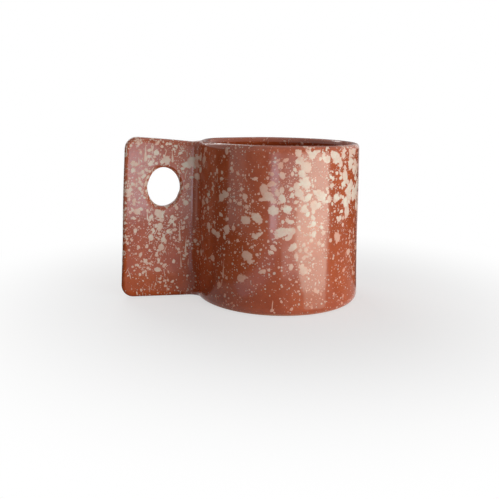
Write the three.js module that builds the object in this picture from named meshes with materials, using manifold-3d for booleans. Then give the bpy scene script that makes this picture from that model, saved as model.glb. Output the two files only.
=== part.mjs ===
// A slab-built terracotta mug: a rolled wall on a round floor, with a flat upright slab as its handle.
// Millimetres, +Z up. The origin is the centre of the foot, and the handle points along -X.

import * as THREE from "three";
import { mergeVertices } from "three/addons/utils/BufferGeometryUtils.js";
import Module from "manifold-3d";

// Driving dimensions of the barrel. Narrowing is the share of its width that the clay loses up to the rim.
const rimHeight = 82;
const barrelDiameter = 87;
const wallThickness = 4;
const floorThickness = 5;
const footRounding = 3;
const narrowing = 0.02;
const seamGap = 0.3;
const seamMitre = Math.PI / 4;

// Driving dimensions of the handle slab
const finReach = 82.5;
const finThickness = 5.5;
const finFootClearance = 0.3;
const finRise = 1.9;
const finRootDrop = 0.7;
const finCornerRadius = 6.3;
const finEdgeRadius = 1.8;

// Driving dimensions of the finger hole, an upright oval
const holeWidth = 16.6;
const holeHeight = 20.2;
const holeFromAxis = 61.8;
const holeAboveTable = 57.7;

// Driving dimensions of the joints between slabs
const jointGap = 0.3;
const rootFilletRadius = 5;
const floorFilletRadius = 4;
const featherEdge = 0.4;

// How finely round shapes are cut into facets
const turnSegments = 96;
const arcSegments = 8;
const bevelSegments = 3;
const holeSegments = 40;

// How far a cutting tool runs past what it cuts
const overshoot = 5;

// Sizes that follow from the driving dimensions
const outerRadius = barrelDiameter / 2;
const innerRadius = outerRadius - wallThickness;
const lipRadius = wallThickness / 2;
const finHalf = finThickness / 2;
const edgeRounding = Math.min(finEdgeRadius, 0.9 * finHalf);
const jointRadius = outerRadius + jointGap;

const wasm = await Module();
wasm.setup();

// The clay's colours: glazed outside and in, bare where the mug stands
const glazedClay = { color: 0xb05c3e, roughness: 0.4, metalness: 0 };
const bareClay = { color: 0xb9694a, roughness: 0.85, metalness: 0 };

// Leans the clay in a little with height, as a rolled wall does when its rim is compressed.
function narrowed(geometry) {
  const position = geometry.getAttribute("position");
  for (let i = 0; i < position.count; i += 1) {
    const width = 1 - (narrowing * position.getZ(i)) / rimHeight;
    position.setX(i, position.getX(i) * width);
    position.setY(i, position.getY(i) * width);
  }
  geometry.computeVertexNormals();
  return geometry;
}

function piece(name, geometry, look) {
  const mesh = new THREE.Mesh(narrowed(geometry), new THREE.MeshStandardMaterial(look));
  mesh.name = name;
  return mesh;
}

// Keeps only positions and welds the points that lie on each other.
function welded(geometry) {
  const bare = new THREE.BufferGeometry();
  bare.setAttribute("position", geometry.getAttribute("position"));
  bare.setIndex(geometry.getIndex());
  return mergeVertices(bare, 1e-4);
}

function toSolid(geometry) {
  const closed = welded(geometry);
  const vertProperties = new Float32Array(closed.getAttribute("position").array);
  const triVerts = new Uint32Array(closed.getIndex().array);
  return new wasm.Manifold(new wasm.Mesh({ numProp: 3, vertProperties, triVerts }));
}

function fromSolid(solid) {
  const mesh = solid.getMesh();
  const geometry = new THREE.BufferGeometry();
  geometry.setAttribute("position", new THREE.BufferAttribute(mesh.vertProperties, 3));
  geometry.setIndex(new THREE.BufferAttribute(mesh.triVerts, 1));
  geometry.computeVertexNormals();
  return geometry;
}

function cut(body, tool) {
  return fromSolid(toSolid(body).subtract(toSolid(tool)));
}

// Points of an arc in a plane, both ends included.
function arcPoints(centreX, centreY, radius, from, to, segments) {
  const points = [];
  for (let i = 0; i <= segments; i += 1) {
    const angle = from + ((to - from) * i) / segments;
    const x = centreX + radius * Math.cos(angle);
    const y = centreY + radius * Math.sin(angle);
    points.push(new THREE.Vector2(x, y));
  }
  return points;
}

// Turns a profile of (radius, height) points, drawn anticlockwise, about the Z axis.
function turned(profile) {
  const geometry = new THREE.LatheGeometry(profile, turnSegments);
  geometry.rotateX(Math.PI / 2);
  return welded(geometry);
}

// Floor slab: flat above and below, its lower edge softened.
function floorDisc() {
  const roundingCentre = outerRadius - footRounding;
  const profile = [
    new THREE.Vector2(0, 0),
    ...arcPoints(roundingCentre, footRounding, footRounding, -Math.PI / 2, 0, arcSegments),
    new THREE.Vector2(outerRadius, floorThickness),
    new THREE.Vector2(0, floorThickness),
  ];
  return piece("floor_disc", turned(profile), bareClay);
}

// Wall slab: stands on the floor slab, rolled into a tube with a fully rounded lip and a mitred seam.
function barrelSlab() {
  const wallCentre = innerRadius + lipRadius;
  const foot = new THREE.Vector2(innerRadius, floorThickness);
  const profile = [
    foot,
    new THREE.Vector2(outerRadius, floorThickness),
    ...arcPoints(wallCentre, rimHeight - lipRadius, lipRadius, 0, Math.PI, 2 * arcSegments),
    foot.clone(),
  ];
  const seamLength = wallThickness / Math.cos(seamMitre) + overshoot;
  const seam = new THREE.BoxGeometry(seamLength, seamGap, rimHeight + 2 * overshoot);
  seam.rotateZ(seamMitre);
  seam.translate(-wallCentre, 0, rimHeight / 2);
  return piece("barrel_slab", cut(turned(profile), seam), glazedClay);
}

// Draws a corner of an outline as an arc that touches both of its sides.
function roundCorner(outline, before, corner, after, radius) {
  const toBefore = before.clone().sub(corner).normalize();
  const toAfter = after.clone().sub(corner).normalize();
  const halfAngle = Math.acos(toBefore.dot(toAfter)) / 2;
  const bisector = toBefore.clone().add(toAfter).normalize();
  const centre = corner.clone().addScaledVector(bisector, radius / Math.sin(halfAngle));
  const sideLength = radius / Math.tan(halfAngle);
  const start = corner.clone().addScaledVector(toBefore, sideLength).sub(centre);
  const end = corner.clone().addScaledVector(toAfter, sideLength).sub(centre);
  outline.absarc(centre.x, centre.y, radius, start.angle(), end.angle(), false);
}

// Handle slab: an upright plate with rounded corners and edges, level below, its top rising from a root
// just under the rim to a far corner above it, cut to the curve of the barrel.
function handleFin() {
  const rootLow = new THREE.Vector2(-innerRadius, finFootClearance);
  const rootHigh = new THREE.Vector2(-innerRadius, rimHeight - finRootDrop);
  const tipHigh = new THREE.Vector2(-finReach, rimHeight + finRise);
  const tipLow = new THREE.Vector2(-finReach, finFootClearance);

  const outline = new THREE.Shape();
  outline.moveTo(rootLow.x, rootLow.y);
  outline.lineTo(rootHigh.x, rootHigh.y);
  roundCorner(outline, rootHigh, tipHigh, tipLow, finCornerRadius);
  roundCorner(outline, tipHigh, tipLow, rootLow, finCornerRadius);
  outline.closePath();

  const hole = new THREE.Path();
  const holeEdge = [];
  for (let i = 0; i < holeSegments; i += 1) {
    const angle = (2 * Math.PI * i) / holeSegments;
    const x = -holeFromAxis + (holeWidth / 2) * Math.cos(angle);
    const z = holeAboveTable + (holeHeight / 2) * Math.sin(angle);
    holeEdge.push(new THREE.Vector2(x, z));
  }
  hole.setFromPoints(holeEdge);
  outline.holes.push(hole);

  const plate = new THREE.ExtrudeGeometry(outline, {
    depth: finThickness - 2 * edgeRounding,
    bevelThickness: edgeRounding,
    bevelSize: edgeRounding,
    bevelOffset: -edgeRounding,
    bevelSegments,
    curveSegments: arcSegments,
  });
  plate.translate(0, 0, edgeRounding - finHalf);
  plate.rotateX(Math.PI / 2);

  const seatHeight = rimHeight + 2 * (finRise + overshoot);
  const barrelSeat = new THREE.CylinderGeometry(jointRadius, jointRadius, seatHeight, turnSegments);
  barrelSeat.rotateX(Math.PI / 2);
  barrelSeat.translate(0, 0, rimHeight / 2);
  return piece("handle_fin", cut(plate, barrelSeat), glazedClay);
}

// Root coil: the fillet of clay in the corner between handle and barrel, with a concave outer face.
// side is -1 for the coil on -Y and +1 for the coil on +Y.
function rootCoil(name, side) {
  const skinRadius = jointRadius + featherEdge;
  const skinHalf = finHalf + featherEdge;
  const centreY = skinHalf + rootFilletRadius;
  const centreDistance = skinRadius + rootFilletRadius;
  const centreX = -Math.sqrt(centreDistance ** 2 - centreY ** 2);
  const barrelAngle = Math.atan2(centreY, centreX);
  const cornerAngle = Math.PI - Math.asin(finHalf / jointRadius);

  const section = [
    new THREE.Vector2(centreX, finHalf),
    ...arcPoints(0, 0, jointRadius, cornerAngle, barrelAngle, arcSegments),
    ...arcPoints(centreX, centreY, rootFilletRadius, barrelAngle - Math.PI, -Math.PI / 2, arcSegments),
  ];
  const outline = section.map((point) => new THREE.Vector2(point.x, side * point.y));
  const depth = rimHeight - lipRadius - finFootClearance;
  const geometry = new THREE.ExtrudeGeometry(new THREE.Shape(outline), { depth, bevelEnabled: false });
  geometry.translate(0, 0, finFootClearance);
  return piece(name, welded(geometry), glazedClay);
}

// Floor coil: the ring of clay that seals the inside corner, resting on the floor slab.
function floorCoil() {
  const backRadius = innerRadius - jointGap;
  const arcCentre = backRadius - featherEdge - floorFilletRadius;
  const arcHeight = floorThickness + featherEdge + floorFilletRadius;
  const toe = new THREE.Vector2(arcCentre, floorThickness);
  const profile = [
    toe,
    new THREE.Vector2(backRadius, floorThickness),
    new THREE.Vector2(backRadius, arcHeight),
    ...arcPoints(arcCentre, arcHeight, floorFilletRadius, 0, -Math.PI / 2, arcSegments),
    toe.clone(),
  ];
  return piece("floor_coil", turned(profile), glazedClay);
}

const mug = new THREE.Group();
mug.add(floorDisc());
mug.add(barrelSlab());
mug.add(handleFin());
mug.add(rootCoil("root_coil_front", -1));
mug.add(rootCoil("root_coil_back", 1));
mug.add(floorCoil());

export default mug;
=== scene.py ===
"""A slab-built terracotta mug with a flat upright slab handle, glazed and splattered with pale slip.

Lengths are metres. +Z is up, the origin is the centre of the foot, and the handle points along -X.
"""

import math

import bmesh
import bpy
import numpy as np
from mathutils import Matrix, Vector


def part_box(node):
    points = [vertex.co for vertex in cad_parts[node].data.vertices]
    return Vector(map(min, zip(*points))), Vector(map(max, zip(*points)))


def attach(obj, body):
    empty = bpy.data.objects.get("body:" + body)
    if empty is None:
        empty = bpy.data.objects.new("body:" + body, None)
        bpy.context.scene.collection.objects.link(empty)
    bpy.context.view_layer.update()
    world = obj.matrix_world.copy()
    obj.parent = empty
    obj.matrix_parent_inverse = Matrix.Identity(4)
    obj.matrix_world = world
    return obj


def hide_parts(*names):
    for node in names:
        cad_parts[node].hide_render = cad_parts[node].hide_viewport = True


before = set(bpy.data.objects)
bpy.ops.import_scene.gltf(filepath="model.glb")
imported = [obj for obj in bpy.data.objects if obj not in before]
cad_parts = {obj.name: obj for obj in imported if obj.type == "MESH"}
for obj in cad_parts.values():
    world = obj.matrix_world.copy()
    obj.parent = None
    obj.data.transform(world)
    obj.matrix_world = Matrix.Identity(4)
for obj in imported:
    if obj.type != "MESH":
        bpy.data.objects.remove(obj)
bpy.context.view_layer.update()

bl_info = {
    "name": "Splattered terracotta mug",
    "version": (1, 0, 0),
    "blender": (4, 5, 0),
    "location": "View3D > Sidebar > Mug",
    "description": "Builds the fired, glazed and splattered mug around its packed solids",
    "category": "Object",
}

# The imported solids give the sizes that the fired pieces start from.
WALL_LOW, WALL_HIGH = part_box("barrel_slab")

# How finely the clay is divided
TURN_STEPS = 240
WALL_ROWS = 125
FOOT_ROWS = 2
UNDER_RINGS = 24
SIDE_RINGS = 3
TOP_RINGS = 32
ROUND_STEPS = 8
FILLET_STEPS = 14
FACE_STEPS = 16
CORNER_STEPS = 10
SHORT_SIDE_STEPS = 26
LONG_SIDE_STEPS = 52
SMOOTH_ANGLE = math.radians(38)
WELD = 1e-7
WALL_WELD = 1e-6
ON_AXIS = 1e-9

# A patch that runs out on its neighbour stands this proud of it, then dips below it over this length.
# Inside, it reaches into the clay by this share of the wall.
PATCH_PROUD = 0.00001
PATCH_DIP = 0.00004
PATCH_RUNOUT = 0.0016
PATCH_ROOT = 0.35

# Slow waves of hand-rolled clay: turns per metre along x, y and z, the way they push, and where they start
CLAY_WAVES = (
    ((9.0, 5.0, 7.0), (0.6, 0.7, 0.2), 0.4),
    ((-14.0, 8.0, 5.0), (0.8, -0.3, 0.1), 2.1),
    ((4.0, -17.0, 11.0), (-0.3, 0.6, 0.3), 4.4),
    ((6.0, 11.0, -19.0), (0.5, 0.4, 0.2), 1.3),
    ((21.0, 13.0, 9.0), (0.3, -0.4, 0.4), 5.6),
)
# The share of the height over which the waves set in, and the sag at the handle's joint: how far out from
# the barrel it lies, how wide it is, and from which share of the height it starts
STILL_SHARE = 0.2
SAG_OUT = 0.004
SAG_WIDTH = 0.008
SAG_FROM = 0.4

# The glaze ends at this share of the foot's rounding. The handle's buried corners have this many times the
# radius of its rubbed edges.
GLAZE_LINE = 0.45
BURIED_CORNER = 1.2

# The finger hole is not quite an oval: it has slow lobes and a pull towards the handle's free edge.
HOLE_LOBES = 3.0
HOLE_LOBE_SIZE = 0.016
HOLE_LOBE_START = 0.4
HOLE_PULL = 0.030
HOLE_PULL_WIDTH = 0.22

# Throws of slip: where each one was aimed, how far it spread and how much of it landed; a minus is a miss
SLIP_THROWS = (
    ((0.0160, -0.0400, 0.0660), 0.0190, 0.86),
    ((0.0090, -0.0420, 0.0560), 0.0160, 0.30),
    ((0.0370, -0.0220, 0.0620), 0.0180, 0.52),
    ((-0.0020, -0.0430, 0.0420), 0.0200, 0.26),
    ((-0.0120, -0.0415, 0.0710), 0.0130, -0.08),
    ((-0.0300, -0.0310, 0.0540), 0.0260, 0.25),
    ((-0.0140, -0.0410, 0.0170), 0.0200, 0.16),
    ((0.0120, -0.0415, 0.0230), 0.0170, 0.17),
    ((0.0370, -0.0220, 0.0250), 0.0170, 0.24),
    ((-0.0290, -0.0310, 0.0800), 0.0090, 0.12),
    ((0.0180, 0.0380, 0.0820), 0.0200, 0.90),
    ((-0.0640, -0.0030, 0.0560), 0.0300, 0.21),
    ((-0.0740, -0.0030, 0.0660), 0.0190, 0.52),
    ((-0.0530, -0.0030, 0.0720), 0.0100, 0.35),
    ((-0.0470, -0.0030, 0.0480), 0.0090, -0.40),
    ((-0.0640, 0.0030, 0.0380), 0.0300, 0.42),
    ((-0.0260, 0.0340, 0.0560), 0.0220, 0.55),
    ((0.0140, 0.0410, 0.0380), 0.0220, 0.30),
    ((0.0380, 0.0200, 0.0660), 0.0180, 0.60),
    ((0.0000, 0.0430, 0.0120), 0.0200, -0.20),
)
SLIP_EVERYWHERE = 0.40
SLIP_INSIDE = 0.50
# A point counts as inside past this share of the wall. On the floor slab's side, slip lies from this share
# of the foot's rounding up to this share of the floor. A face looks up or down past this tilt.
INSIDE_SHARE = 0.7
SLIP_FROM = 0.5
SLIP_UP_TO = 0.95
FACING = 0.5

# Layers of slip: sides of a drop, length of its tail, its radii, how far it stretches up the wall, and how
# far it may turn. Each layer has its own run of seeds.
SLIP_LAYERS = {
    "Blotches": (28, 0.0, (0.0011, 0.0032), (0.9, 1.6), math.pi),
    "Drops": (11, 0.0, (0.0005, 0.0014), (0.85, 1.6), math.pi),
    "Flecks": (5, 0.0, (0.0002, 0.0005), (0.85, 1.6), math.pi),
    "Streaks": (10, 0.0, (0.00026, 0.00042), (8.0, 14.0), 0.5),
    "Runs": (14, 10.0, (0.00070, 0.0012), (0.9, 1.3), 0.08),
}
LAYER_SEEDS = 10.0
# A drop of radius 1: its shoulder, how high its top and its underside lie from the middle outwards, how
# thin a tail gets and how soon. Most drops are small, by this power, and each has a number up to this.
DROP_SHOULDER = 0.62
DROP_TOP = (1.0, 0.72)
DROP_UNDER = (-1.2, -0.35)
TAIL_WIDTH = 0.32
TAIL_TAPER = 2.5
MOSTLY_SMALL = 1.8
DROP_NUMBERS = 90.0

# Patterns of the finishes, in turns per metre
CLAY_CLOUDS = 38.0
CLAY_THIN_GLAZE = 150.0
CLAY_GRAIN = 1500.0
FILM_PATCHES = 95.0
FILM_GAPS = 260.0
MIST_SWIRLS = 45.0
MIST_CROWDS = 60.0
MIST_FINE = 1050.0
MIST_COARSE = 520.0
IRON_SPECKS = 430.0
GLAZE_CLOUDS = 120.0
GLAZE_RIPPLE = 420.0
SLIP_PATCHES = 520.0
SLIP_GRAIN = 1300.0
SLIP_PINHOLES = 620.0
SLIP_CLOUDS = 160.0
SLIP_RIPPLE = 520.0
SLIP_CROWDS = 85.0
SLIP_CLUMPS = 250.0
BARE_CLOUDS = 55.0
BARE_GRIT = 900.0
BARE_IRON = 500.0
BARE_DRAG_LINES = 130.0
# Lobes of a drop, in turns per radius, how much closer the drag lines lie across the wire, how far the mist
# drifts, and the solid share of a speck
SLIP_LOBES = 2.3
DRAG_STRETCH = (1.0, 9.0, 1.0)
MIST_DRIFT = 0.004
SPECK_CORE = 0.7

# White, and the one face of a mesh with four corners
WHITE = (1.0, 1.0, 1.0)
ONE_FACE = [(0, 1, 2, 3)]

# The ground: its colour, half its width, its height, between which distances it fades to white, and how
# white it is before that
GROUND_GREY = (0.78, 0.78, 0.78)
GROUND_REACH = 6.0
GROUND_HEIGHT = -0.0002
GROUND_FADE = (0.05, 0.19)
GROUND_NEAR_WHITE = 0.60

# Where the lamps are aimed, and for each its name, place, width and height, power, and whether the glaze
# shows it
LAMP_AIM = (0.0, 0.0, 0.04)
LAMPS = (
    ("key_right", (0.50, -0.596, 0.10), (0.5, 0.13), 4.75, False),
    ("overhead", (0.10, -0.10, 0.75), (0.7, 0.7), 0.6, True),
    ("back_fill", (-0.20, 0.62, 0.42), (0.5, 0.4), 2.4, True),
)

# The camera: its sensor in millimetres, and how near it sees
SENSOR_WIDTH = 36.0
CLIP_START = 0.01

# Cards that only the glaze shows. Those round the mug: name, from and to in degrees round from the front
# (positive to the right), brightness, and their section as (distance from the axis, height) points
CARD_STEPS = 12
CARD_FOOT = -0.0001
CARD_TOP = (0.26, 0.08)
CARD_BASE = (0.26, CARD_FOOT)
CARD_TOE = (0.05, CARD_FOOT)
ROUND_CARDS = (
    ("card_left", -131.0, -80.0, 0.05, (CARD_TOP, CARD_BASE, CARD_TOE)),
    ("card_front", -55.0, -8.0, 0.50, (CARD_TOP, CARD_BASE)),
    ("card_front_floor", -80.0, -8.0, 0.50, (CARD_BASE, (0.055, CARD_FOOT))),
    ("card_right", 51.0, 92.0, 0.40, (CARD_TOP, CARD_BASE, CARD_TOE)),
    ("card_back_right", 92.0, 135.0, 0.08, (CARD_TOP, CARD_BASE, CARD_TOE)),
    ("card_back", 145.0, 215.0, 0.35, ((0.26, 0.25), CARD_BASE)),
)
# The flat cards: name, brightness, tint, heights and plan points. An upright card has two heights and two
# ends, and one that lies on the floor has one height and four corners.
WINDOW_TINT = (0.97, 1.05, 0.94)
VEIL_TINT = (0.85, 0.94, 1.0)
ON_FLOOR = (-0.00005,)
VEIL_HEIGHTS = (0.002, 0.066)
VEIL_Y = -0.24
FLAT_CARDS = (
    ("card_window", 7.2, WINDOW_TINT, (CARD_FOOT, 0.072), ((0.036, -0.198), (0.2117, -0.1465))),
    ("card_window_floor", 5.6, WINDOW_TINT, ON_FLOOR,
     ((0.0245, -0.0855), (0.0563, -0.0641), (0.1801, -0.1356), (0.0448, -0.2280))),
    ("card_window_foot", 2.7, WINDOW_TINT, ON_FLOOR,
     ((0.0089, -0.0522), (0.0242, -0.0456), (0.0563, -0.0641), (0.0245, -0.0855))),
    ("card_veil_floor", 2.4, VEIL_TINT, ON_FLOOR,
     ((-0.0145, -0.1276), (0.0294, -0.1237), (0.0448, -0.2280), (-0.0237, -0.2321))),
    ("card_veil", 2.9, VEIL_TINT, VEIL_HEIGHTS, ((-0.015, VEIL_Y), (0.036, VEIL_Y))),
    ("card_veil_left", 1.9, VEIL_TINT, VEIL_HEIGHTS, ((-0.055, VEIL_Y), (-0.015, VEIL_Y))),
    ("card_left_floor", 0.05, WHITE, ON_FLOOR,
     ((-0.085, 0.0), (-0.250, 0.0), (-0.250, -0.130), (-0.085, -0.130))),
    ("card_handle_floor", 1.0, (0.80, 0.95, 1.16), ON_FLOOR,
     ((-0.0840, -0.0500), (-0.0500, -0.0500), (-0.0330, -0.2400), (-0.0845, -0.2400))),
    ("card_handle", 5.0, (0.84, 0.94, 1.10), VEIL_HEIGHTS, ((-0.095, VEIL_Y), (-0.055, VEIL_Y))),
)


def length(name, description, default):
    """A property that holds a length in metres."""
    return bpy.props.FloatProperty(
        name=name, description=description, default=default, min=0.0,
        precision=5, unit="LENGTH", subtype="DISTANCE",
    )


def angle(name, description, degrees):
    """A property that holds an angle, given here in degrees."""
    return bpy.props.FloatProperty(
        name=name, description=description, default=math.radians(degrees),
        unit="ROTATION", subtype="ANGLE",
    )


def colour(name, description, default):
    """A property that holds a linear colour."""
    return bpy.props.FloatVectorProperty(
        name=name, description=description, default=default, size=3, min=0.0, max=1.0, subtype="COLOR",
    )


def share(name, description, default):
    """A property that holds a factor from 0 to 1."""
    return bpy.props.FloatProperty(
        name=name, description=description, default=default, min=0.0, max=1.0, subtype="FACTOR",
    )


def crowd(name, description, default):
    """A property that holds a number per square metre."""
    return bpy.props.FloatProperty(name=name, description=description, default=default, min=0.0)


class MugSizes(bpy.types.PropertyGroup):
    """Lengths of the clay pieces."""

    outer_radius: length("Outer radius", "Radius of the barrel at its foot", 0.0433)
    rim_height: length("Rim height", "Height of the lip above the table", WALL_HIGH.z)
    wall: length("Wall", "Thickness of the rolled wall", 0.004)
    floor: length("Floor", "Thickness of the floor slab", WALL_LOW.z)
    foot_rounding: length("Foot rounding", "Radius of the softened lower edge", 0.003)
    narrowing: share("Narrowing", "Share of its width that the clay loses up to the rim", 0.02)
    handle_reach: length("Handle reach", "From the barrel's axis to the handle's far edge", 0.0824)
    handle_thickness: length("Handle thickness", "Thickness of the handle slab", 0.0055)
    handle_foot: length("Handle foot", "Gap between the handle and the table", 0.0003)
    handle_rise: length("Handle rise", "How far the handle's free corner stands above the rim", 0.00178)
    handle_drop: length("Handle drop", "How far the handle's top lies below the rim at its root", 0.0007)
    handle_corner: length("Handle corner", "Radius of the handle's two free corners", 0.0063)
    handle_edge: length("Handle edge", "Radius of the handle's rubbed edges", 0.0019)
    hole_width: length("Hole width", "Width of the finger hole", 0.0166)
    hole_height: length("Hole height", "Height of the finger hole", 0.0202)
    hole_from_axis: length("Hole from axis", "From the barrel's axis to the middle of the hole", 0.0618)
    hole_above_table: length("Hole above table", "Height of the middle of the hole", 0.0577)
    root_fillet: length("Root fillet", "Radius of the worked-in clay where handle meets barrel", 0.005)
    floor_fillet: length("Floor fillet", "Radius of the inside corner above the floor", 0.004)
    rim_dip: length("Rim dip", "How far the top edge sags where the handle was joined", 0.0003)
    unevenness: length("Unevenness", "Size of the slow waves left by hand rolling", 0.00014)
    slip_relief: length("Slip relief", "Height of a thick drop of slip", 0.00011)


class MugFinish(bpy.types.PropertyGroup):
    """Colours and gloss of clay, glaze and slip."""

    clay: colour("Clay", "Glazed red clay", (0.41, 0.079, 0.021))
    deep_clay: colour("Deep clay", "Glazed clay where the glaze lies thick", (0.33, 0.055, 0.013))
    pale_clay: colour("Pale clay", "Glazed clay where the glaze is thin or rubbed", (0.48, 0.118, 0.044))
    iron: colour("Iron specks", "Dark specks that burn out of the clay", (0.10, 0.024, 0.012))
    slip: colour("Slip", "Thick splattered slip", (0.69, 0.63, 0.52))
    slip_film: colour("Slip film", "Slip so thin that the clay shows through", (0.60, 0.240, 0.155))
    bare_clay: colour("Bare clay", "Unglazed clay under the foot", (0.47, 0.19, 0.10))
    gloss: share("Glaze roughness", "Roughness of the satin glaze", 0.13)
    blotches: crowd("Blotches", "Large drops per square metre where the slip is thickest", 44000.0)
    drops: crowd("Drops", "Middling drops per square metre where the slip is thickest", 88000.0)
    flecks: crowd("Flecks", "Small drops per square metre where the slip is thickest", 170000.0)
    streaks: crowd("Streaks", "Thin slanted streaks per square metre of the handle", 11000.0)
    runs: crowd("Runs", "Drops per square metre of the handle that ran down", 4600.0)
    seed: bpy.props.IntProperty(
        name="Splatter seed", description="Which splatter is thrown", default=108, min=0,
    )


class MugStage(bpy.types.PropertyGroup):
    """Camera and lights."""

    azimuth: angle("Azimuth", "Where the camera stands round the mug", -13.34)
    distance: length("Distance", "Camera to the barrel's axis, along the floor", 0.3440)
    height: length("Height", "Camera above the table", 0.1012)
    pan: angle("Pan", "How far the camera looks past the axis", -2.600)
    tilt: angle("Tilt", "How far the camera looks down", 4.491)
    roll: angle("Roll", "How far the camera leans", 1.149)
    lens: bpy.props.FloatProperty(
        name="Lens", description="Focal length on a 36 mm sensor, in millimetres", default=46.43, min=1.0,
        subtype="DISTANCE_CAMERA",
    )
    shift: bpy.props.FloatProperty(
        name="Shift", description="Lens shift up the picture", default=-0.1894, subtype="FACTOR",
    )
    ambient: share("Ambient", "Soft light from all round", 0.25)


# Small helpers for shapes


def smooth(value):
    """Eases a 0 to 1 ramp in and out."""
    value = np.clip(value, 0.0, 1.0)
    return value * value * (3.0 - 2.0 * value)


def hand_worked(points, sizes):
    """Leans points in with height and moves them by the slow waves of hand rolling; the foot stays flat."""
    points = np.asarray(points, dtype=float)
    free = smooth(points[:, 2] / (STILL_SHARE * sizes.rim_height))
    moved = points.copy()
    moved[:, :2] *= (1.0 - sizes.narrowing * points[:, 2] / sizes.rim_height)[:, None]
    for turns, push, start in CLAY_WAVES:
        wave = np.sin(2.0 * math.pi * (points @ np.array(turns)) + start)
        moved += (sizes.unevenness * free * wave)[:, None] * np.array(push)
    join = -(sizes.outer_radius + SAG_OUT)
    near = np.exp(-(((points[:, 0] - join) / SAG_WIDTH) ** 2))
    moved[:, 2] -= sizes.rim_dip * (near * smooth(points[:, 2] / sizes.rim_height - SAG_FROM))
    return moved


def mesh_of(name, points, faces):
    """A mesh from points and faces."""
    mesh = bpy.data.meshes.new(name)
    mesh.from_pydata(points, [], faces)
    return mesh


def new_object(name, data, *finishes):
    """Puts a mesh, a lamp or a camera into the scene; a mesh may bring its finishes."""
    for finish in finishes:
        data.materials.append(finish)
    made = bpy.data.objects.new(name, data)
    bpy.context.scene.collection.objects.link(made)
    return made


def soften(mesh):
    """Shades a mesh smoothly, except over its sharp edges."""
    mesh.shade_smooth()
    mesh.set_sharp_from_angle(angle=SMOOTH_ANGLE)


def points_of(mesh):
    """A mesh's points, one to a row."""
    flat = np.empty(3 * len(mesh.vertices), dtype=np.float32)
    mesh.vertices.foreach_get("co", flat)
    return flat.reshape(-1, 3)


def work_by_hand(mesh, sizes):
    """Applies the clay's unevenness to a mesh."""
    moved = hand_worked(points_of(mesh), sizes)
    mesh.vertices.foreach_set("co", moved.astype(np.float32).ravel())
    mesh.update()


def closed_mesh(name, make_faces):
    """Runs make_faces on an empty bmesh, closes and orients the result, and returns it as a mesh."""
    shape = bmesh.new()
    make_faces(shape)
    bmesh.ops.remove_doubles(shape, verts=shape.verts, dist=WELD)
    bmesh.ops.recalc_face_normals(shape, faces=shape.faces)
    mesh = bpy.data.meshes.new(name)
    shape.to_mesh(mesh)
    shape.free()
    return mesh


def skinned(name, loops, wrapped):
    """Joins equal closed loops of points by quads; the ends are capped, or joined if wrapped."""

    def make_faces(shape):
        rows = [[shape.verts.new(point) for point in loop] for loop in loops]
        pairs = list(zip(rows, rows[1:]))
        if wrapped:
            pairs.append((rows[-1], rows[0]))
        else:
            shape.faces.new(rows[0])
            shape.faces.new(list(reversed(rows[-1])))
        for row, following in pairs:
            for i, corner in enumerate(row):
                last = i - 1
                shape.faces.new((row[last], following[last], following[i], corner))

    return closed_mesh(name, make_faces)


def turned(name, profile):
    """Turns a profile of (radius, height) points about the axis; a point on the axis becomes a pole."""
    turns = [2.0 * math.pi * i / TURN_STEPS for i in range(TURN_STEPS)]

    def ring(shape, radius, height):
        if radius < ON_AXIS:
            return [shape.verts.new((0.0, 0.0, height))]
        return [shape.verts.new((radius * math.cos(a), radius * math.sin(a), height)) for a in turns]

    def make_faces(shape):
        rings = [ring(shape, radius, height) for radius, height in profile]
        for low, high in zip(rings, rings[1:]):
            for i in range(TURN_STEPS):
                start = low if len(low) == 1 else [low[i], low[i - 1]]
                end = high if len(high) == 1 else [high[i - 1], high[i]]
                shape.faces.new(start + end)

    return closed_mesh(name, make_faces)


def arc(centre, radius, start, end, steps):
    """Points of an arc in a plane, both ends included; angles are in degrees."""
    turns = np.radians(np.linspace(start, end, steps + 1))
    return [(centre[0] + radius * math.cos(a), centre[1] + radius * math.sin(a)) for a in turns]


def quarter_turn():
    """Angles of a rounded edge, from 0 to a right angle."""
    return np.linspace(0.0, math.pi / 2.0, ROUND_STEPS + 1)


def between(start, end, steps):
    """Points from start up to but not including end."""
    return [np.array(start) + (np.array(end) - np.array(start)) * i / steps for i in range(steps)]


def thrown_slip(points, sizes):
    """How much slip landed at each point, from 0 to 1."""
    amount = np.full(len(points), SLIP_EVERYWHERE)
    for aim, spread, landed in SLIP_THROWS:
        away = np.linalg.norm(points - np.array(aim), axis=1)
        amount += landed * np.exp(-((away / spread) ** 2))
    inner = (1.0 - sizes.narrowing) * (sizes.outer_radius - INSIDE_SHARE * sizes.wall)
    inside = np.hypot(points[:, 0], points[:, 1]) < inner
    return np.clip(np.where(inside, SLIP_INSIDE * amount, amount), 0.0, 1.0)


def keep_slip(mesh, sizes):
    """Keeps on a mesh how much slip landed at each point."""
    kept = mesh.attributes.new("slip", "FLOAT", "POINT")
    kept.data.foreach_set("value", thrown_slip(points_of(mesh), sizes))


def finish_piece(piece, nodes, sizes):
    """Gives a fired piece its unevenness and its share of slip, shades it smoothly, hangs it under the root
    body and hides the solids it stands for.
    """
    work_by_hand(piece.data, sizes)
    keep_slip(piece.data, sizes)
    soften(piece.data)
    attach(piece, "root")
    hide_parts(*nodes)


# Small helpers for nodes


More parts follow.
